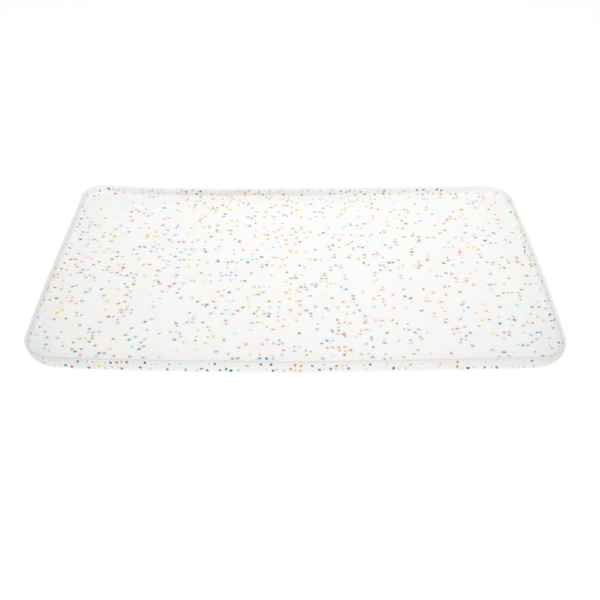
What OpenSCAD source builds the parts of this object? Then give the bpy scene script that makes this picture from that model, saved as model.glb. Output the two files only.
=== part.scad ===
// Raised-edge silicone mat: a thin flexible floor with a low upright rim all round,
// moulded in one shot from milky silicone, with coloured chips cast into it.
// Millimetres. The origin is the centre of the face that the mat rests on.

/* [Mat] */
// Width of the mat, left to right, over the rim
mat_w = 610; // [500:1:700]
// Depth of the mat, front to back, over the rim
mat_d = 406; // [300:1:480]
// Height of the rim's top above the surface that the mat lies on
mat_h = 15; // [13:0.5:20]
// Outer radius of the four corners, seen from above
corner_r = 38; // [30:1:60]

/* [Moulding] */
// Thickness of the floor
floor_t = 2.2; // [1.6:0.1:3]
// Thickness of the rim
wall_t = 2.6; // [2.4:0.1:3.6]
// Radius of the fillet between the floor and the rim
fillet_r = 8; // [5:0.5:8]
// Radius of the edge between the underside and the rim's outer face
foot_r = 1; // [0.5:0.1:1.4]

/* [Chips] */
// Share of the floor's cells that hold a chip
floor_fill = 0.2; // [0.05:0.01:0.3]
// Share of the cells on the rim's outer face that hold a chip
rim_fill = 0.55; // [0.05:0.05:0.7]
// Share of the cells on the fillet that hold a chip
fillet_fill = 0.5; // [0.05:0.05:0.7]
// Smallest chip, across
chip_min = 1.7; // [1.4:0.1:2.2]
// Largest chip, across
chip_max = 2.9; // [2.3:0.1:3.2]
// How far a chip stands out of the silicone's face
chip_proud = 0.05; // [0.02:0.01:0.1]
// Which random draw the chips' places and colours come from
chip_draw = 11; // [1:1:99]

/* [Hidden] */
$fn = 64;
eps = 0.01;

// Share of all chips that each colour has, in the order of the chip nodes above
shares = [0.17, 0.12, 0.27, 0.1, 0.21, 0.13];

// Sum of the first n shares, and the colour number whose step a draw from 0 to 1 falls in
function share_sum(n) = n == 0 ? 0 : shares[n - 1] + share_sum(n - 1);
function colour_of(draw, n = 0) = draw <= share_sum(n + 1) ? n : colour_of(draw, n + 1);

// Each chip has a cell of its own and stays inside it, so that no two chips meet
chip_sides = 5;
cell_gap = 0.5;
cell = 2 * chip_max + cell_gap;
shift = (cell - chip_max - cell_gap / 2) / 2;

// Flat part of the floor, inside the fillet, and its cells
flat_w = mat_w - 2 * (wall_t + fillet_r);
flat_d = mat_d - 2 * (wall_t + fillet_r);
flat_r = corner_r - wall_t - fillet_r;
cells_x = floor(flat_w / cell);
cells_y = floor(flat_d / cell);

// Draws for the floor: filled or not, shift along X and Y, size, turn and colour
floor_n = cells_x * cells_y;
floor_pick = rands(0, 1, floor_n, chip_draw);
floor_dx = rands(-shift, shift, floor_n, chip_draw + 1);
floor_dy = rands(-shift, shift, floor_n, chip_draw + 2);
floor_size = rands(chip_min, chip_max, floor_n, chip_draw + 3);
floor_turn = rands(0, 360, floor_n, chip_draw + 4);
floor_hue = rands(0, 1, floor_n, chip_draw + 5);

// Length of the rim's outer face: straight sides and quarter turns
side_w = mat_w - 2 * corner_r;
side_d = mat_d - 2 * corner_r;
turn_len = PI * corner_r / 2;
half_len = side_w + turn_len + side_d + turn_len;

// Two rows of cells on the outer face, between the foot's rounding and the top's
rim_cols = floor(2 * half_len / cell);
rows = 2;
rim_low = foot_r + 0.4;
row_h = (mat_h - wall_t / 2 - rim_low) / rows;
row_slack = chip_max / 2 + cell_gap / 4;
rim_n = rim_cols * rows;
rim_pick = rands(0, 1, rim_n, chip_draw + 6);
rim_along = rands(-shift, shift, rim_n, chip_draw + 7);
rim_up = rands(row_slack, row_h - row_slack, rim_n, chip_draw + 8);
rim_size = rands(chip_min, chip_max, rim_n, chip_draw + 9);
rim_turn = rands(0, 360, rim_n, chip_draw + 10);
rim_hue = rands(0, 1, rim_n, chip_draw + 11);

// Two rows of longer cells on the fillet, where the corners turn tighter
fillet_cell = 7;
fillet_cols = floor(2 * half_len / fillet_cell);
row_starts = [16, 58];
row_sweep = 24;
fillet_n = fillet_cols * rows;
fillet_pick = rands(0, 1, fillet_n, chip_draw + 12);
fillet_along = rands(-shift, shift, fillet_n, chip_draw + 13);
fillet_lean = rands(0, row_sweep, fillet_n, chip_draw + 14);
fillet_size = rands(chip_min, chip_max, fillet_n, chip_draw + 15);
fillet_turn = rands(0, 360, fillet_n, chip_draw + 16);
fillet_hue = rands(0, 1, fillet_n, chip_draw + 17);

// How deep the rim's chips reach from either face, short of each other
rim_depth = wall_t / 2 - 0.05;

// True where a chip at x, y lies on the flat part of the floor, not past its round corners
function on_flat(x, y) =
    let (cx = abs(x) - (flat_w / 2 - flat_r), cy = abs(y) - (flat_d / 2 - flat_r))
    cx < 0 || cy < 0 || norm([cx, cy]) < flat_r - chip_max / 2;

// Place on the rim's outer face, s along it from the front left: [x, y, outward angle]
function rim_place(s) =
    s < half_len ? half_place(s)
    : let (p = half_place(s - half_len)) [-p[0], -p[1], p[2] + 180];
function half_place(s) =
    s < side_w ? [s - side_w / 2, -mat_d / 2, -90]
    : s < side_w + turn_len ? turn_place(-side_d / 2, -90, s - side_w)
    : s < half_len - turn_len ? [mat_w / 2, s - side_w - turn_len - side_d / 2, 0]
    : turn_place(side_d / 2, 0, s - half_len + turn_len);
function turn_place(cy, start, s) =
    let (a = start + 90 * s / turn_len)
    [side_w / 2 + corner_r * cos(a), cy + corner_r * sin(a), a];

// Section of the rim and of the floor beside it, outwards along X from a corner's centre
module rim_section() {
    inner = corner_r - wall_t;
    difference() {
        union() {
            square([corner_r, floor_t]);
            translate([inner, 0]) square([wall_t, mat_h - wall_t / 2]);
            translate([inner + wall_t / 2, mat_h - wall_t / 2]) circle(d = wall_t);
            translate([inner - fillet_r, floor_t - eps]) square(fillet_r + eps);
        }
        translate([inner - fillet_r, floor_t + fillet_r]) circle(r = fillet_r);
        difference() {
            translate([corner_r - foot_r, -eps]) square(foot_r + eps);
            translate([corner_r - foot_r, foot_r]) circle(r = foot_r);
        }
    }
}

// Straight length of rim with the floor beside it, facing +X
module rim_side(length) {
    translate([0, length / 2, 0]) rotate([90, 0, 0]) linear_extrude(length) rim_section();
}

// Quarter turn of rim, in the +X +Y corner
module rim_corner() {
    rotate_extrude(angle = 90) rim_section();
}

// Floor and rim, one moulding
module mat_body() {
    color("whitesmoke") {
        translate([-side_w / 2, -side_d / 2, 0]) cube([side_w, side_d, floor_t]);
        for (half = [0, 180]) rotate(half) {
            translate([side_w / 2, 0, 0]) rim_side(side_d);
            rotate(90) translate([side_d / 2, 0, 0]) rim_side(side_w);
            translate([side_w / 2, side_d / 2, 0]) rim_corner();
            rotate(90) translate([side_d / 2, side_w / 2, 0]) rim_corner();
        }
    }
}

// Chip of the floor: it shows on both faces, because the floor is as thin as a chip
module floor_chip(size, turn) {
    rotate(turn) cylinder(d = size, h = floor_t + chip_proud, $fn = chip_sides);
}

// Chip in the rim's outer face, which is the plane X = 0
module rim_chip(size, turn) {
    rotate([0, 90, 0]) rotate(turn) translate([0, 0, -rim_depth])
        cylinder(d = size, h = rim_depth + chip_proud, $fn = chip_sides);
}

// Chip in the fillet, lean degrees up from the floor, with the outer face at X = 0
module fillet_chip(size, turn, lean) {
    translate([-wall_t - fillet_r, 0, floor_t + fillet_r]) rotate([0, 180 - lean, 0])
        rotate(turn) translate([0, 0, fillet_r - chip_proud])
        cylinder(d = size, h = rim_depth + chip_proud, $fn = chip_sides);
}

// All the chips of one colour number
module chips(colour) {
    for (i = [0 : cells_x - 1], j = [0 : cells_y - 1]) {
        k = i * cells_y + j;
        x = (i + 0.5 - cells_x / 2) * cell + floor_dx[k];
        y = (j + 0.5 - cells_y / 2) * cell + floor_dy[k];
        if (floor_pick[k] < floor_fill && on_flat(x, y) && colour_of(floor_hue[k]) == colour)
            translate([x, y, 0]) floor_chip(floor_size[k], floor_turn[k]);
    }
    for (i = [0 : rim_cols - 1], j = [0 : rows - 1]) {
        k = i * rows + j;
        p = rim_place((i + 0.5) * cell + rim_along[k]);
        if (rim_pick[k] < rim_fill && colour_of(rim_hue[k]) == colour)
            translate([p[0], p[1], rim_low + j * row_h + rim_up[k]]) rotate(p[2])
                rim_chip(rim_size[k], rim_turn[k]);
    }
    for (i = [0 : fillet_cols - 1], j = [0 : rows - 1]) {
        k = i * rows + j;
        p = rim_place((i + 0.5) * fillet_cell + fillet_along[k]);
        if (fillet_pick[k] < fillet_fill && colour_of(fillet_hue[k]) == colour)
            translate([p[0], p[1], 0]) rotate(p[2])
                fillet_chip(fillet_size[k], fillet_turn[k], row_starts[j] + fillet_lean[k]);
    }
}

module red_chips() { color("crimson") chips(0); }
module pink_chips() { color("hotpink") chips(1); }
module amber_chips() { color("goldenrod") chips(2); }
module green_chips() { color("mediumseagreen") chips(3); }
module teal_chips() { color("darkcyan") chips(4); }
module blue_chips() { color("steelblue") chips(5); }

mat_body();
red_chips();
pink_chips();
amber_chips();
green_chips();
teal_chips();
blue_chips();
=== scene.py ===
# %% [markdown]
# # A raised-edge silicone mat
# The mat is one moulding of milky, slightly see-through silicone: a thin floor with a low
# rim round it. Small coloured chips are cast into it. The CAD model gives the sizes, and the
# places of the chips. Here the moulding is modelled again with soft edges and a slight slump,
# and every chip gets the look of a flake that lies just under the surface.

# %% Load the frame
import math
import random

import bmesh
import bpy
import numpy as np
from mathutils import Matrix, Vector
from mathutils.bvhtree import BVHTree


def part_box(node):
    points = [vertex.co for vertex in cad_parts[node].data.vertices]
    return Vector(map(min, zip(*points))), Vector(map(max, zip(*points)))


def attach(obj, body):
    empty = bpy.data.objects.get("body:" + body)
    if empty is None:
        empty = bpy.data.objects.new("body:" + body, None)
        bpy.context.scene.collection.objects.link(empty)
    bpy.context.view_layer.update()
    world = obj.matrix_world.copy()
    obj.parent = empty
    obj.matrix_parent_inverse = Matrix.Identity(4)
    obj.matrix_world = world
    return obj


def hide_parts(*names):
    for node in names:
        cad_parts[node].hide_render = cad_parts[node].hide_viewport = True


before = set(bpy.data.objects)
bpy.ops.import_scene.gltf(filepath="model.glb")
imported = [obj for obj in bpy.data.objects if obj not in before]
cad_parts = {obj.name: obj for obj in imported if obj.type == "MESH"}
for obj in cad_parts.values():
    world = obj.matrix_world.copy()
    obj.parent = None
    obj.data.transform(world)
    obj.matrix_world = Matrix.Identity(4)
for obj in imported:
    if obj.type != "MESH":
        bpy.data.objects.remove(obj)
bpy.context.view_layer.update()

MM = 0.001

# %% [markdown]
# ## Sizes
# The outer sizes come from the CAD node. Its thicknesses aren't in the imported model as
# numbers, so they are named here, as in the part's source.

# %% Sizes of the moulding
low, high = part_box("mat_body")
MAT_W, MAT_D, MAT_H = high - low
CORNER_R = 38 * MM
FLOOR_T = 2.2 * MM
WALL_T = 2.6 * MM
FILLET_R = 8 * MM
FOOT_R = 1 * MM
print(f"mat {MAT_W:.3f} x {MAT_D:.3f} x {MAT_H:.3f} m")

# %% [markdown]
# ## Camera
# The mat is seen from the front and above, from about a metre away. The camera comes before
# the modelling, so that every render is framed alike while the pieces are made.

# %% Camera
def add_camera(place, down, left, lens):
    """A camera at place that looks along +Y, tilted down and turned left by those angles."""
    data = bpy.data.cameras.new("camera")
    data.sensor_width = 36
    data.lens = lens
    camera = bpy.data.objects.new("camera", data)
    bpy.context.scene.collection.objects.link(camera)
    camera.location = place
    camera.rotation_euler = (math.radians(90 - down), 0, math.radians(left))
    bpy.context.scene.camera = camera
    return camera


add_camera(place=(0.0086, -0.9943, 0.6372), down=34.58, left=0.19, lens=55.28)
print("camera placed")

# %% [markdown]
# ## Studio
# The mat lies in a white studio: a white floor, a broad soft light overhead and weak light
# from all round. The light is strong enough to turn the floor fully white, as in a shop's
# studio, so only the mat's own shading is left to draw its shape.

# %% Studio helpers
def look_at(obj, target):
    """Turns obj so that its -Z axis points at target."""
    obj.rotation_euler = (Vector(target) - obj.location).to_track_quat("-Z", "Y").to_euler()


def add_softbox(name, place, size, watts):
    """A square area light aimed at the mat."""
    data = bpy.data.lights.new(name, "AREA")
    data.shape = "SQUARE"
    data.size = size
    data.energy = watts
    lamp = bpy.data.objects.new(name, data)
    bpy.context.scene.collection.objects.link(lamp)
    lamp.location = place
    look_at(lamp, (0, 0, 0))
    return lamp


# %% Lights and view
SKY = 0.64
world = bpy.data.worlds.new("studio")
world.use_nodes = True
world.node_tree.nodes["Background"].inputs["Color"].default_value = (1, 1, 1, 1)
world.node_tree.nodes["Background"].inputs["Strength"].default_value = SKY
bpy.context.scene.world = world
bpy.context.scene.view_settings.view_transform = "Standard"
add_softbox("overhead", place=(0.06, 0.3, 0.8), size=0.5, watts=3)
add_softbox("front fill", place=(0, -1.7, 0.75), size=1.4, watts=8)
print("lights placed")

# %% [markdown]
# ## Shader maths
# Nodes are easier to read as sums. This small class wraps an output socket, so that
# `noise * 0.2 + 0.4` adds the two Math nodes that it stands for.

# %% A wrapped socket
class Shader:
    """One material's nodes, and the way to add more."""

    def __init__(self, name):
        self.material = bpy.data.materials.new(name)
        self.material.use_nodes = True
        self.tree = self.material.node_tree
        self.surface = self.tree.nodes["Principled BSDF"]

    def node(self, kind, output=0, settings=None, **inputs):
        """Adds a node, sets it up, joins its inputs and returns one output, wrapped."""
        made = self.tree.nodes.new(kind)
        for key, value in (settings or {}).items():
            setattr(made, key, value)
        for key, value in inputs.items():
            self.join(made.inputs[SOCKETS.get(key, key)], value)
        return Socket(self, made.outputs[output])

    def join(self, target, value):
        """Links a wrapped socket to target, or sets target to a plain value."""
        if isinstance(value, Socket):
            self.tree.links.new(value.socket, target)
        else:
            target.default_value = value

    def set(self, **inputs):
        """Sets or links the sockets of the Principled shader."""
        for key, value in inputs.items():
            self.join(self.surface.inputs[key.replace("_", " ")], value)

    def mix(self, factor, first, second):
        """Colour between first and second."""
        return self.node("ShaderNodeMix", 2, {"data_type": "RGBA"}, i0=factor, i6=first, i7=second)


# Inputs that share a name on one node are reached by number
SOCKETS = {f"i{number}": number for number in range(8)}


class Socket:
    """An output socket that takes part in sums."""

    def __init__(self, shader, socket):
        self.shader = shader
        self.socket = socket

    def math(self, operation, first, second=0.0):
        return self.shader.node("ShaderNodeMath", 0, {"operation": operation}, i0=first, i1=second)

    def __add__(self, other):
        return self.math("ADD", self, other)

    def __sub__(self, other):
        return self.math("SUBTRACT", self, other)

    def __rsub__(self, other):
        return self.math("SUBTRACT", other, self)

    def __mul__(self, other):
        return self.math("MULTIPLY", self, other)

    def __truediv__(self, other):
        return self.math("DIVIDE", self, other)

    def at_least(self, lowest):
        return self.math("MAXIMUM", self, lowest)

    def __lt__(self, other):
        return self.math("LESS_THAN", self, other)

    __radd__ = __add__
    __rmul__ = __mul__


print("shader maths ready")

# %% [markdown]
# ## Colours
# The silicone is a milky white. Painted shade greys it on the thin rim and on parts of the floor,
# and painted light whitens it at the rear, where light comes through it. The chips come in six
# colours. Each has a deep tone and a light one, because its chips aren't all alike, and the pale
# tint that it lends to the milk round it.
# The colours form three families. In patches of the mat one family shows best, and there its
# first colour tints the milk, by the shares that are named last.

# %% Colours
MILK = (0.892, 0.89, 0.884, 1)
PALE_MILK = (0.923, 0.922, 0.918, 1)
# Painted light: the white that the milk is drawn towards where light comes through the walls
LIT_MILK = (0.99, 0.985, 0.975, 1)
DULL_GREY = (0.22, 0.21, 0.20, 1)
# Painted shade: the grey that the milk is drawn towards where the rim and floor lie in shade
PAINTED_SHADE_GREY = (0.45, 0.46, 0.45, 1)
CHIP_COLOURS = {
    "red": [(0.12, 0.03, 0.04, 1), (0.45, 0.08, 0.08, 1), (0.97, 0.80, 0.80, 1)],
    "pink": [(0.28, 0.08, 0.12, 1), (0.62, 0.24, 0.28, 1), (0.97, 0.82, 0.86, 1)],
    "amber": [(0.36, 0.24, 0.04, 1), (0.80, 0.57, 0.12, 1), (0.97, 0.88, 0.66, 1)],
    "green": [(0.03, 0.07, 0.05, 1), (0.14, 0.26, 0.14, 1), (0.84, 0.94, 0.84, 1)],
    "teal": [(0.01, 0.05, 0.06, 1), (0.03, 0.23, 0.24, 1), (0.75, 0.94, 0.94, 1)],
    "blue": [(0.01, 0.03, 0.07, 1), (0.02, 0.23, 0.40, 1), (0.78, 0.89, 0.98, 1)],
}
FAMILIES = {"reds": ["red", "pink"], "ambers": ["amber"], "blues": ["blue", "teal", "green"]}
MILK_TINT = 0.11
HALO_TINT = 0.9
print("chip colours:", ", ".join(CHIP_COLOURS))

# %% [markdown]
# ## Silicone
# The milk isn't even: a broad noise makes it cloudy. Its skin copies the mould's fine
# blasted texture, which is a small bump. Below the skin lie more chips, which the milk hides
# almost wholly. A 3D Voronoi pattern makes these: each cell holds one, and the cells whose
# own random value is low enough show it.

# %% Silicone material
SUNK_STRENGTH = 0.6


def skin_bump(shader, place):
    """The mould's fine texture, as a normal."""
    fine = shader.node("ShaderNodeTexNoise", 0, Vector=place, Scale=900.0, Detail=2.0)
    broad = shader.node("ShaderNodeTexNoise", 0, Vector=place, Scale=55.0, Detail=1.0)
    return shader.node("ShaderNodeBump", 0, Strength=0.12, Distance=0.3 * MM, Height=fine + broad)


def painted(shader, name):
    """A value that was written on the mesh's points."""
    return shader.node("ShaderNodeAttribute", 2, {"attribute_name": name})


def soft_body(shader):
    """The constant sockets that all the silicone shares."""
    shader.set(IOR=1.41, Specular_IOR_Level=0.35)


def sunk_chips(shader, place, scale, share, reach):
    """Mask and colour of chips deep in the milk: blurred spots in a share of the cells."""
    settings = {"feature": "F1"}
    cells = shader.node("ShaderNodeTexVoronoi", 0, settings, Vector=place, Scale=scale)
    own = shader.node("ShaderNodeTexVoronoi", 1, settings, Vector=place, Scale=scale)
    parts = shader.node("ShaderNodeSeparateColor", 0, Color=own)
    picked = Socket(shader, parts.socket.node.outputs[1])
    near = (1 - cells / reach).at_least(0)
    shown = near * (picked < share)
    ramp = shader.node("ShaderNodeValToRGB", 0, Fac=parts)
    stops = ramp.socket.node.color_ramp
    stops.interpolation = "CONSTANT"
    hues = [tint for _, _, tint in CHIP_COLOURS.values()]
    stops.elements.remove(stops.elements[1])
    for number, hue in enumerate(hues):
        stop = stops.elements[0] if number == 0 else stops.elements.new(number / len(hues))
        stop.position = number / len(hues)
        stop.color = hue
    return shown, ramp


def in_patches(shader, strength, colour):
    """The colour, tinted in the patches of each family of chips."""
    for family, names in FAMILIES.items():
        share = painted(shader, family) * strength
        colour = shader.mix(share, colour, CHIP_COLOURS[names[0]][2])
    return colour


def milk_colour(shader, place):
    """The silicone's colour: cloudy milk with blurred chips deep in it, with painted shade and
    painted light.
    """
    cloud = shader.node("ShaderNodeTexNoise", 0, Vector=place, Scale=14.0, Detail=3.0)
    milk = in_patches(shader, MILK_TINT, shader.mix(cloud, MILK, PALE_MILK))
    sunk, hue = sunk_chips(shader, place, scale=120.0, share=0.5, reach=0.6)
    tinted = shader.mix(sunk * SUNK_STRENGTH, milk, hue)
    # Painted light: the milk whitens by the number painted on each point
    lit = shader.mix(painted(shader, "lit"), tinted, LIT_MILK)
    # Painted shade: the milk greys by the number painted on each point
    return shader.mix(painted(shader, "thin"), lit, PAINTED_SHADE_GREY)


def make_silicone():
    shader = Shader("milky silicone")
    place = shader.node("ShaderNodeTexCoord", 3)
    smear = shader.node("ShaderNodeTexNoise", 0, Vector=place, Scale=20.0, Detail=2.0)
    shader.set(Base_Color=milk_colour(shader, place), Roughness=smear * 0.12 + 0.40)
    shader.set(Normal=skin_bump(shader, place))
    soft_body(shader)
    return shader.material


silicone = make_silicone()
print("material:", silicone.name)

# %% [markdown]
# ## Chips' material
# A chip's colour fades into the milk towards its edge, and a chip that lies deeper is paler
# all over. Each chip's mesh carries that as a number on its points, its veil: 0 is bare and
# 1 is hidden. A deep chip is duller too. Round each chip the milk takes a pale tint of its
# colour, its glow, which is weaker round a dull chip.

# %% Chip materials
GRAIN_SHARE = 0.2
GLOW_LOST = 0.7


def make_chip_material(name, deep, light, tint):
    shader = Shader(name + " chips")
    place = shader.node("ShaderNodeTexCoord", 3)
    grain = shader.node("ShaderNodeTexNoise", 0, Vector=place, Scale=1400.0, Detail=2.0)
    lightness = painted(shader, "tint") * (1 - GRAIN_SHARE) + grain * GRAIN_SHARE
    flake = shader.mix(lightness, deep, light)
    dull = painted(shader, "dull")
    flake = shader.mix(dull, flake, DULL_GREY)
    glow = painted(shader, "glow")
    halo = in_patches(shader, glow * HALO_TINT, milk_colour(shader, place))
    round_it = shader.mix(glow * (1 - dull * GLOW_LOST), halo, tint)
    veiled = shader.mix(painted(shader, "veil"), flake, round_it)
    shader.set(Base_Color=veiled, Roughness=grain * 0.1 + 0.42)
    shader.set(Normal=skin_bump(shader, place))
    soft_body(shader)
    return shader.material


chip_materials = {name: make_chip_material(name, *hues) for name, hues in CHIP_COLOURS.items()}
print("materials:", ", ".join(chip_materials))

# %% [markdown]
# ## Working by hand, in code
# An operator acts on what is selected, so each step first selects what it needs: here one
# object, there the faces or edges that lie in some place.

# %% Selection helpers
def use_only(obj):
    """Deselects everything but obj, and makes it active."""
    bpy.ops.object.select_all(action="DESELECT")
    obj.select_set(True)
    bpy.context.view_layer.objects.active = obj


def start_edit(obj, kind):
    """Opens obj in edit mode with nothing selected. kind is VERT, EDGE or FACE."""
    use_only(obj)
    bpy.ops.object.mode_set(mode="EDIT")
    bpy.ops.mesh.select_mode(type=kind)
    bpy.ops.mesh.select_all(action="DESELECT")


def end_edit():
    bpy.ops.object.mode_set(mode="OBJECT")


def pick(obj, kind, test):
    """Selects the faces, edges or verts of obj for which test is true."""
    mesh = bmesh.from_edit_mesh(obj.data)
    bpy.ops.mesh.select_all(action="DESELECT")
    for part in getattr(mesh, kind):
        if test(part):
            part.select_set(True)
    bmesh.update_edit_mesh(obj.data)


def looks_up(face):
    return face.normal.z > 0.9


def looks_down(face):
    return face.normal.z < -0.9


print("helpers ready")

# %% [markdown]
# ## The moulding
# The rim's section could be swept round a path, but then its corners would need care. A
# moulder's way is simpler: start from a block with round corners, and work its top
# face inwards. Each inset takes it a little further in and up or down, so a row of insets that
# follow a circle's sine and cosine rounds the rim's top, and later the fillet.

# %% Block with round corners
CORNER_STEPS = 36


def add_block(name):
    """The mat's outline as a solid, up to where the rim's rounding starts."""
    tall = MAT_H - WALL_T / 2
    bpy.ops.object.select_all(action="DESELECT")
    bpy.ops.mesh.primitive_cube_add(size=1, location=(0, 0, tall / 2), scale=(MAT_W, MAT_D, tall))
    block = bpy.context.object
    block.name = name
    bpy.ops.object.transform_apply(location=True, rotation=True, scale=True)
    start_edit(block, "EDGE")
    pick(block, "edges", lambda e: abs(e.verts[0].co.z - e.verts[1].co.z) > tall / 2)
    bpy.ops.mesh.bevel(offset=CORNER_R, offset_type="OFFSET", segments=CORNER_STEPS, profile=0.5)
    end_edit()
    return block


mat = add_block("mat")
print("block:", len(mat.data.polygons), "faces")

# %% Rim, inner wall and fillet
TOP_STEPS = 8
FILLET_STEPS = 10
FOOT_STEPS = 4


def inset_along(steps):
    """Insets the selected face once for each step: how far in, and how far up."""
    for inwards, upwards in steps:
        bpy.ops.mesh.inset(thickness=inwards, depth=upwards)


def arc_steps(radius, start, end, count):
    """Steps in and up along an arc, from one angle to another."""
    angles = [start + (end - start) * n / count for n in range(count + 1)]
    points = [(-radius * math.cos(a), radius * math.sin(a)) for a in angles]
    return [(b[0] - a[0], b[1] - a[1]) for a, b in zip(points, points[1:])]


def shape_tray(block):
    """Rounds the rim's top, sinks the tray inside it and rounds the foot."""
    start_edit(block, "FACE")
    pick(block, "faces", looks_up)
    inset_along(arc_steps(WALL_T / 2, 0, math.pi, TOP_STEPS))
    wall = MAT_H - WALL_T / 2 - FLOOR_T - FILLET_R
    bpy.ops.mesh.extrude_region_move(TRANSFORM_OT_translate={"value": (0, 0, -wall)})
    inset_along(arc_steps(FILLET_R, 0, -math.pi / 2, FILLET_STEPS))
    pick(block, "faces", looks_down)
    bpy.ops.mesh.region_to_loop()
    bpy.ops.mesh.bevel(offset=FOOT_R, offset_type="OFFSET", segments=FOOT_STEPS, profile=0.5)
    end_edit()


shape_tray(mat)
print("tray:", len(mat.data.polygons), "faces")

# %% [markdown]
# The straight sides are still single long faces, and the floor is one face. The soft slump
# needs more points, so planes cut the mat across, a centimetre or so apart, and three level
# planes cut its rim. No plane lies just where the mat has points already.

# %% Cuts across the mat
CUT_PITCH = 11 * MM
CUT_CLEAR = 0.05 * MM
RIM_CUTS = [FLOOR_T + 0.1 * MM, 6 * MM, 10 * MM]


def cut(obj, axis, places):
    """Cuts obj by planes square to an axis, 0, 1 or 2."""
    normal = [float(axis == number) for number in range(3)]
    start_edit(obj, "FACE")
    for place in places:
        bpy.ops.mesh.select_all(action="SELECT")
        bpy.ops.mesh.bisect(plane_co=[place * part for part in normal], plane_no=normal)
    end_edit()


def even_places(half, pitch):
    """Places from -half to half, about pitch apart, ends included."""
    count = round(2 * half / pitch)
    return [-half + 2 * half * n / count for n in range(count + 1)]


cut(mat, 0, even_places(MAT_W / 2 - CORNER_R - CUT_CLEAR, CUT_PITCH))
cut(mat, 1, even_places(MAT_D / 2 - CORNER_R - CUT_CLEAR, CUT_PITCH))
cut(mat, 2, RIM_CUTS)
print("cut:", len(mat.data.polygons), "faces,", len(mat.data.vertices), "points")

# %% [markdown]
# ## Chips
# The CAD model holds each chip as a small prism at its place. A chip that is seen is a flake
# whose face lies almost flush with the silicone, thin at its edge. Three flakes are modelled,
# and copied to all the places. The colours come in patches a few centimetres wide:
# in each, one family of colours shows bright and tints the milk, and the others look dull.

# %% Writing values on points
TINY = 1e-6


def paint(mesh, name, values):
    """Writes one number on each point of a mesh."""
    layer = mesh.attributes.new(name, "FLOAT", "POINT")
    layer.data.foreach_set("value", np.asarray(values, dtype=np.float32))


def points_of(mesh):
    """The mesh's points as rows of X, Y and Z."""
    co = np.empty(len(mesh.vertices) * 3)
    mesh.vertices.foreach_get("co", co)
    return co.reshape(-1, 3)


# %% Patches of colour
# Each family has its own waves, and shows fully where they lead the next family's by FULL_LEAD
PATCH_WAVES = 4
SHORTEST_WAVE = 35 * MM
LONGEST_WAVE = 60 * MM
FULL_LEAD = 1.5


def make_wave(draw):
    """One wave across the mat: its direction, length and phase."""
    turn = draw.uniform(0, math.pi)
    length = draw.uniform(SHORTEST_WAVE, LONGEST_WAVE)
    return turn, length, draw.uniform(0, math.tau)


def make_waves(draw):
    """A few waves for each family of colours."""
    return [[make_wave(draw) for _ in range(PATCH_WAVES)] for _ in FAMILIES]


waves = make_waves(random.Random(3))


def wave_height(co, wave):
    """How high a wave stands at each point."""
    turn, length, phase = wave
    way = co[:, 0] * math.cos(turn) + co[:, 1] * math.sin(turn)
    return np.sin(way * math.tau / length + phase)


def patches(co):
    """How strongly each family shows at each point, by its lead over the next, 0 to 1."""
    heights = np.array([sum(wave_height(co, wave) for wave in family) for family in waves])
    second = np.sort(heights, axis=0)[-2]
    return np.clip((heights - second) / FULL_LEAD, 0, 1)


def bright_here(name, place):
    """True in the patches where this colour's chips show best."""
    shown = patches(np.array([[place.x, place.y, 0.0]]))[:, 0]
    family = [name in names for names in FAMILIES.values()].index(True)
    return shown[family] > 0


# %% Where the chips are
CAD_CHIP_SIDES = 5


def chip_places(node):
    """Centre and radius of each separate chip in a CAD node."""
    mesh = bmesh.new()
    mesh.from_mesh(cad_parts[node].data)
    bmesh.ops.remove_doubles(mesh, verts=mesh.verts, dist=0.001 * MM)
    found, seen = [], set()
    for start in mesh.verts:
        if start in seen:
            continue
        group, waiting = [], [start]
        seen.add(start)
        while waiting:
            here = waiting.pop()
            group.append(here)
            for edge in here.link_edges:
                other = edge.other_vert(here)
                if other not in seen:
                    seen.add(other)
                    waiting.append(other)
        centre = sum((v.co for v in group), Vector()) / len(group)
        side = min(e.calc_length() for v in group for e in v.link_edges)
        found.append((centre, side / (2 * math.sin(math.pi / CAD_CHIP_SIDES))))
    mesh.free()
    return found


places = {name: chip_places(name + "_chips") for name in CHIP_COLOURS}
for name, found in places.items():
    print(name, len(found), "chips")

# %% A flake
# Each ring: its radius, its height in mm, how far the milk has taken over there, and its glow
FLAKE_RINGS = [(4.8, 0.006, 1.0, 0.0), (3.4, 0.011, 1.0, 0.75), (2.1, 0.018, 0.97, 1.0),
               (1.6, 0.030, 0.5, 1.0), (1.15, 0.045, 0.0, 1.0)]
GLOW = 0.72
FLAKE_SIDES = 8
FLAKE_T = 0.4 * MM
# How far the outline swells and shrinks, twice and three times round
TWO_LOBES = 0.12
THREE_LOBES = 0.08


def add_flake(name):
    """A flake round a chip of radius 1: a cylinder whose top is inset to one ring after another."""
    bpy.ops.object.select_all(action="DESELECT")
    widest = FLAKE_RINGS[0][0]
    bpy.ops.mesh.primitive_cylinder_add(vertices=FLAKE_SIDES, radius=widest, depth=FLAKE_T)
    flake = bpy.context.object
    flake.name = name
    start_edit(flake, "FACE")
    pick(flake, "faces", looks_up)
    for outer, inner in zip(FLAKE_RINGS, FLAKE_RINGS[1:]):
        inwards = (outer[0] - inner[0]) * math.cos(math.pi / FLAKE_SIDES)
        bpy.ops.mesh.inset(thickness=inwards, depth=(inner[1] - outer[1]) * MM)
    bpy.ops.mesh.poke()
    end_edit()
    return flake


def ring_value(out, column):
    """A column of the rings' table, at a distance out from the chip's centre."""
    radii = [ring[0] for ring in FLAKE_RINGS][::-1]
    values = [ring[column] for ring in FLAKE_RINGS][::-1]
    return float(np.interp(out, radii, values))


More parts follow.
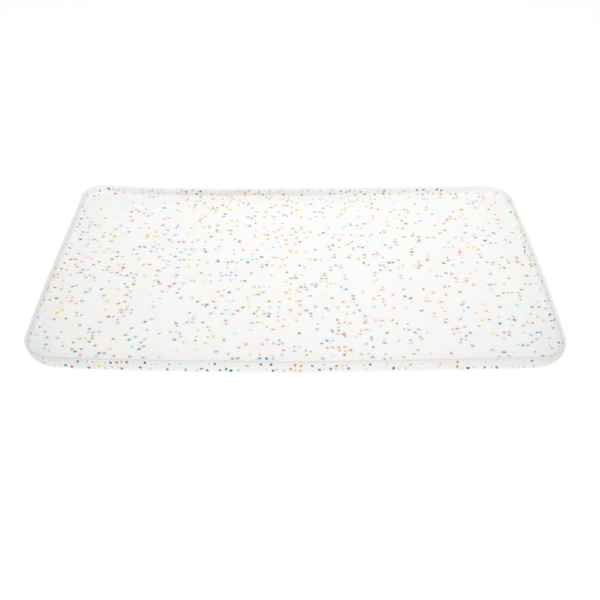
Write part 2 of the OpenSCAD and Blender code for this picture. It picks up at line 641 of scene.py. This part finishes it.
def finish_flake(flake, draw):
    """Makes the outline uneven, and writes each point's height, fade and glow."""
    mesh = flake.data
    three_phase, stretch, _ = [draw.uniform(0.84, 1.16) for _ in range(3)]
    two_phase = draw.uniform(0, math.tau)
    top = max(v.co.z for v in mesh.vertices)
    heights = mesh.attributes.new("height", "FLOAT", "POINT")
    fades = mesh.attributes.new("fade", "FLOAT", "POINT")
    glows = mesh.attributes.new("glow", "FLOAT", "POINT")
    for v in mesh.vertices:
        out = math.hypot(v.co.x, v.co.y)
        around = math.atan2(v.co.y, v.co.x)
        heights.data[v.index].value = v.co.z - top + FLAKE_RINGS[-1][1] * MM
        fades.data[v.index].value = ring_value(out, 2)
        glows.data[v.index].value = GLOW * ring_value(out, 3)
        uneven = 1 + TWO_LOBES * math.sin(2 * around + two_phase)
        uneven += THREE_LOBES * math.sin(3 * around + three_phase)
        v.co.x *= uneven * stretch
        v.co.y *= uneven / stretch
        v.co.z -= top
    return flake


draw = random.Random(5)
flakes = [finish_flake(add_flake(f"flake_{n}"), draw) for n in range(3)]
print("flake:", len(flakes[0].data.polygons), "faces")

# %% [markdown]
# Each copy is set on the face of the moulding nearest to its CAD chip, facing out. A chip of
# the floor shows on both faces, because the floor is hardly thicker than the chip. The deeper a
# chip, the paler: most of the floor's chips are veiled, and half of the rim's lie bare.

# %% Setting the chips
def face_finder(obj):
    """A tree that finds the nearest point on obj's faces."""
    mesh = bmesh.new()
    mesh.from_mesh(obj.data)
    tree = BVHTree.FromBMesh(mesh)
    mesh.free()
    return tree


def spots(centre, tree):
    """Where a chip shows: points on the silicone's faces and the ways they face.

    The centre of a floor chip lies half-way up the floor, and all others lie higher.
    """
    if centre.z < FLOOR_T * 0.7:
        return [(Vector((centre.x, centre.y, FLOOR_T)), Vector((0, 0, 1))),
                (Vector((centre.x, centre.y, 0)), Vector((0, 0, -1)))]
    place, normal, _, _ = tree.find_nearest(centre)
    return [(place, normal)]


def on_floor(normal):
    """True where the face is level, and so the floor's."""
    return abs(normal.z) > 0.99


# %% How pale and how dull a chip looks
# The floor's mean veil, its spread and its limits, then the ranges for the rim's chips
FLOOR_VEIL, VEIL_SPREAD = 0.46, 0.19
LEAST_VEIL, MOST_VEIL = 0.1, 0.85
BARE_VEILS = (0.0, 0.3)
SUNK_VEILS = (0.6, 0.9)
# How grey chips look, from 0 to 1: the floor's in and out of their own patches, and the rim's
IN_PATCH = (0.2, 0.6)
OUT_OF_PATCH = (0.6, 0.95)
BARE_DULL = (0.0, 0.3)
SUNK_DULL = (0.5, 0.9)


def veil_of(normal, draw):
    """How far the milk hides a chip."""
    if on_floor(normal):
        return min(MOST_VEIL, max(LEAST_VEIL, draw.gauss(FLOOR_VEIL, VEIL_SPREAD)))
    bare, sunk = draw.uniform(*BARE_VEILS), draw.uniform(*SUNK_VEILS)
    return draw.choice([bare, bare, sunk, sunk])


def dull_of(name, place, normal, veil, draw):
    """How grey a chip looks: bright in its own colour's patches and where it lies bare."""
    if on_floor(normal):
        return draw.uniform(*(IN_PATCH if bright_here(name, place) else OUT_OF_PATCH))
    return draw.uniform(*(BARE_DULL if veil < BARE_VEILS[1] else SUNK_DULL))


# %% Copies of the flakes
# A chip of the rim is a little larger, and its glow reaches less far past its edge
RIM_CHIP = 1.04
HALO_START = FLAKE_RINGS[2][0]
RIM_HALO = 0.35


def narrow_halo(mesh):
    """Pulls the flake's outer rings in, so that they don't fold over the rim's edges."""
    co = points_of(mesh)
    out = np.hypot(co[:, 0], co[:, 1])
    kept = np.where(out > HALO_START, HALO_START + (out - HALO_START) * RIM_HALO, out)
    co[:, :2] *= (kept / np.maximum(out, TINY))[:, None]
    mesh.vertices.foreach_set("co", co.ravel())


def set_chip(flake, place, normal, radius, veil, dull, draw):
    """One copy of a flake, on its spot, with its veil, lightness and dullness on its points."""
    chip = flake.copy()
    chip.data = flake.data.copy()
    bpy.context.scene.collection.objects.link(chip)
    if not on_floor(normal):
        narrow_halo(chip.data)
    turn = normal.to_track_quat("Z", "Y").to_matrix().to_4x4()
    spin = Matrix.Rotation(draw.uniform(0, math.tau), 4, "Z")
    size = Matrix.Diagonal((radius, radius, 1, 1))
    chip.data.transform(Matrix.Translation(place) @ turn @ spin @ size)
    fades = np.empty(len(chip.data.vertices))
    chip.data.attributes["fade"].data.foreach_get("value", fades)
    paint(chip.data, "veil", veil + (1 - veil) * fades)
    paint(chip.data, "tint", np.full(len(fades), draw.random()))
    paint(chip.data, "dull", np.full(len(fades), dull))
    return chip


def join_chips(chips, name):
    """Joins the copies into one piece."""
    bpy.ops.object.select_all(action="DESELECT")
    for chip in chips:
        chip.select_set(True)
    bpy.context.view_layer.objects.active = chips[0]
    bpy.ops.object.join()
    chips[0].name = name
    return chips[0]


def lay_on(piece, tree):
    """Moves each point to its own height over the nearest face, so flakes follow the curves."""
    heights = piece.data.attributes["height"].data
    for v in piece.data.vertices:
        place, normal, _, _ = tree.find_nearest(v.co)
        v.co = place + normal * heights[v.index].value


def make_chips(name, tree, draw):
    """All the chips of one colour as one piece of separate solids."""
    chips = []
    for centre, radius in places[name]:
        for place, normal in spots(centre, tree):
            flake = flakes[draw.randrange(len(flakes))]
            veil = veil_of(normal, draw)
            radius *= 1 if on_floor(normal) else RIM_CHIP
            dull = dull_of(name, place, normal, veil, draw)
            chips.append(set_chip(flake, place, normal, radius, veil, dull, draw))
    piece = join_chips(chips, name + "_flakes")
    lay_on(piece, tree)
    piece.data.materials.clear()
    piece.data.materials.append(chip_materials[name])
    print(name, "flakes:", len(piece.data.polygons), "faces")
    return piece


# %% Chips of each colour
tree = face_finder(mat)
chip_pieces = {name: make_chips(name, tree, draw) for name in CHIP_COLOURS}
for flake in flakes:
    bpy.data.objects.remove(flake)
print("chip pieces:", len(chip_pieces))

# %% [markdown]
# ## The slump
# Soft rubber doesn't stand as straight as the CAD solid. Between its stiff corners
# the front and the sides bulge outwards a few millimetres, the rear rim leans in and sinks, and
# the corners' feet tuck in. One function moves the points of the moulding and of the chips
# alike, so the chips stay where they belong. Before that, while the rim still follows the
# plain outline, each point is given its painted shade, on the rim, its front face and the floor's
# edges, and its painted light, where light comes through the rear and side walls. A see-through
# shader could show both, but it is slow to render, and numbers on points are simple to bake into
# colours.

# %% Where a point is on the mat
def fade(values, full, gone):
    """1 where values are at full or beyond, 0 at gone or beyond, and a ramp between them."""
    return np.clip((gone - values) / (gone - full), 0, 1)


def measure_rim(co):
    """How far each point lies past the mat's outline, and how much of that is sideways."""
    past_x = np.abs(co[:, 0]) - (MAT_W / 2 - CORNER_R)
    past_y = np.abs(co[:, 1]) - (MAT_D / 2 - CORNER_R)
    round_off = np.hypot(np.maximum(past_x, 0), np.maximum(past_y, 0))
    outside = np.minimum(np.maximum(past_x, past_y), 0) + round_off - CORNER_R
    sideways = np.clip(past_x / np.maximum(round_off, TINY), 0, 1) ** 2
    return outside, sideways


# %% Painted shade of the rim
# A pair is for the front and the rear, or for the left and the right
TOP_GREYS = (0.36, 0.0)
CORNER_GREYS = (0.65, 0.2)
SIDE_GREYS = (0.2, 0.02)
FACE_GREY = 0.09
FACE_END_GREYS = (0.35, 0.18)
FACE_CORNER_GREYS = (0.0, 0.8)
INNER_FADE = 3 * MM
SKIN_T = 0.8 * MM
SKIN_PALER = 0.6


def rim_painted_shade(co, outside, sideways):
    """The rim's painted shade: most on its top and, at the front, on its outer face."""
    front, left = co[:, 1] < 0, co[:, 0] < 0
    lift = np.clip(co[:, 2] / MAT_H, 0, 1)
    across = np.abs(co[:, 0]) / (MAT_W / 2)
    cornering = sideways * (1 - sideways)
    rim = fade(outside, -0.7 * WALL_T, -WALL_T)
    inner = fade(outside, -WALL_T, -WALL_T - INNER_FADE)
    skin = fade(outside, 0, -SKIN_T)
    top = np.where(front, *TOP_GREYS) * (1 - sideways) + np.where(front, *CORNER_GREYS) * cornering
    sides = np.where(left, *SIDE_GREYS) * sideways
    edge = (lift ** 2 * rim * top + lift * inner * sides) * (1 - SKIN_PALER * skin)
    face = FACE_GREY + np.where(left, *FACE_END_GREYS) * across ** 2 * (1 - sideways)
    face += np.where(left, *FACE_CORNER_GREYS) * cornering
    return edge + face * skin * front * fade(lift, 0.4, 0)


# %% Painted shade of the floor
BESIDE_GREY = 0.15
BESIDE_W = 38 * MM
FRONT_END_GREY = 0.2
REAR_GREY = 0.15
REAR_FOOT_GREY = 0.2


def floor_painted_shade(co, outside):
    """The floor's painted shade: beside the side rims, in the front corners and along the rear,
    with a painted shadow at the rear wall's foot.
    """
    lift = np.clip(co[:, 2] / MAT_H, 0, 1)
    across = np.abs(co[:, 0]) / (MAT_W / 2)
    along = co[:, 1] / (MAT_D / 2)
    side_gap = MAT_W / 2 - np.abs(co[:, 0])
    rear_gap = MAT_D / 2 - co[:, 1]
    beside = BESIDE_GREY * fade(side_gap, 0, BESIDE_W) ** 0.7 * (1 - 0.6 * lift)
    beside *= 1 - fade(outside, 0, -SKIN_T)
    ends = FRONT_END_GREY * np.clip(-along, 0, 1) ** 2 * across ** 6 * (1 - lift)
    rear = REAR_GREY * fade(rear_gap, 10 * MM, 50 * MM)
    # Painted shadow that the rear wall casts on the floor at its foot
    foot = REAR_FOOT_GREY * fade(rear_gap, 20 * MM, 30 * MM) * fade(rear_gap, 10 * MM, 5 * MM)
    return beside + ends + (rear + foot * (1 - across ** 2) ** 2) * (1 - lift) ** 2


# %% Painting the mat
# Painted light on the side walls, as a share of the rear wall's
SIDE_LIT = 0.25
# A power this high keeps a change close to the rim
BY_RIM = 12


def paint_rim(mesh):
    """Writes each point's painted shade, and its painted light: how far it is lit."""
    co = points_of(mesh)
    outside, sideways = measure_rim(co)
    # Painted shade on the rim and the floor, where less light reaches
    thin = rim_painted_shade(co, outside, sideways) + floor_painted_shade(co, outside)
    paint(mesh, "thin", np.clip(thin, 0, 1))
    lift = np.clip(co[:, 2] / MAT_H, 0, 1)
    # Painted light: the rear wall, and less the side walls, drawn lighter where light comes through
    # them
    rear_lit = np.clip(co[:, 1] / (MAT_D / 2), 0, 1) ** BY_RIM
    side_lit = SIDE_LIT * np.abs(co[:, 0] / (MAT_W / 2)) ** BY_RIM
    paint(mesh, "lit", lift ** 0.5 * np.clip(np.maximum(rear_lit, side_lit), 0, 1))


def paint_patches(mesh):
    """Writes how strongly each family of colours tints the milk."""
    for family, values in zip(FAMILIES, patches(points_of(mesh))):
        paint(mesh, family, values)


for piece in [mat, *chip_pieces.values()]:
    paint_rim(piece.data)
    paint_patches(piece.data)
print("painted the rim and the patches")

# %% Slump
# How far each part moves at most. The front and the sides bulge out, and the front's corners
# draw in. The corners' feet tuck in, the rear corners stand out, and the rear rim leans in.
FRONT_BULGE = 10 * MM
FRONT_CORNERS = 2.3 * MM
FRONT_FOOT = 0.7 * MM
LEFT_CORNER = 2.2 * MM
RIGHT_CORNER = 1.4 * MM
RIGHT_FLAT = 2.2 * MM
TUCK = 8.5 * MM
FRONT_RIGHT_TUCK = 5.5 * MM
REAR_LEFT_OUT = 12 * MM
LEFT_BULGE = 1.6 * MM
RIGHT_BULGE = 3.4 * MM
REAR_CORNERS = 4 * MM
REAR_LEAN = 6.5 * MM
REAR_SINK = 2.6 * MM


def slump(obj):
    """Moves obj's points as the soft mat would settle."""
    co = points_of(obj.data)
    across = co[:, 0] / (MAT_W / 2)
    along = co[:, 1] / (MAT_D / 2)
    up = fade(co[:, 2], MAT_H, FLOOR_T)
    front = np.clip(-along, 0, 1) ** 3
    rear = np.clip(along, 0, 1) ** 3
    right = np.clip(across, 0, 1)
    right_hump = 2.6 * right * (1 - right ** 2)  # 1 at its peak, between the middle and the corner
    sag = np.clip(0.75 - 0.7 * across, 0, 1)  # most at the left
    rear_rim = np.clip(along, 0, 1) ** BY_RIM * np.clip(1 - across ** 4, 0, 1) * up * sag
    bulge = np.where(across < 0, LEFT_BULGE, RIGHT_BULGE)
    co[:, 0] += np.sign(across) * np.abs(across) ** 3 * bulge * (1 - along ** 2)
    co[:, 1] += front * (FRONT_CORNERS - FRONT_BULGE * (1 - across ** 2))
    co[:, 1] += front * RIGHT_FLAT * right_hump
    co[:, 1] -= front ** 4 * FRONT_FOOT * (1 - up)
    corner = np.abs(across * along) ** BY_RIM
    tuck = np.where((across > 0) & (along < 0), FRONT_RIGHT_TUCK, TUCK) * corner * (1 - up)
    pull = np.where(across < 0, LEFT_CORNER, RIGHT_CORNER) * front * across ** 8
    rear_left = REAR_LEFT_OUT * corner * (across < 0) * (along > 0)
    co[:, 0] -= np.sign(across) * (tuck + pull - rear_left)
    co[:, 1] -= np.sign(along) * (tuck - rear_left)
    co[:, 1] += rear * REAR_CORNERS * across ** 2 - rear_rim * REAR_LEAN
    co[:, 2] -= rear_rim * REAR_SINK
    obj.data.vertices.foreach_set("co", co.ravel())
    obj.data.update()


for piece in [mat, *chip_pieces.values()]:
    slump(piece)
    use_only(piece)
    bpy.ops.object.shade_smooth_by_angle(angle=math.radians(40))
print("slumped", 1 + len(chip_pieces), "pieces")

# %% [markdown]
# ## Joining the frame
# The pieces ride on the CAD body, and stand for the CAD nodes that they replace.

# %% Riding on the body
mat.data.materials.clear()
mat.data.materials.append(silicone)
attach(mat, "mat")
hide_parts("mat_body")
for name, piece in chip_pieces.items():
    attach(piece, "mat")
    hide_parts(name + "_chips")
    "chip_" + name

# %% [markdown]
# ## Floor
# A plain white floor, far wider than the view.

# %% Floor
def add_floor():
    bpy.ops.object.select_all(action="DESELECT")
    bpy.ops.mesh.primitive_plane_add(size=14, location=(0, 0, -0.2 * MM))
    floor = bpy.context.object
    floor.name = "studio_floor"
    shader = Shader("studio white")
    shader.set(Base_Color=(0.2, 0.2, 0.2, 1), Roughness=0.9, Specular_IOR_Level=0.0)
    shader.set(Emission_Color=(1, 1, 1, 1), Emission_Strength=0.85)
    floor.data.materials.append(shader.material)
    return floor


add_floor()
print("floor placed")
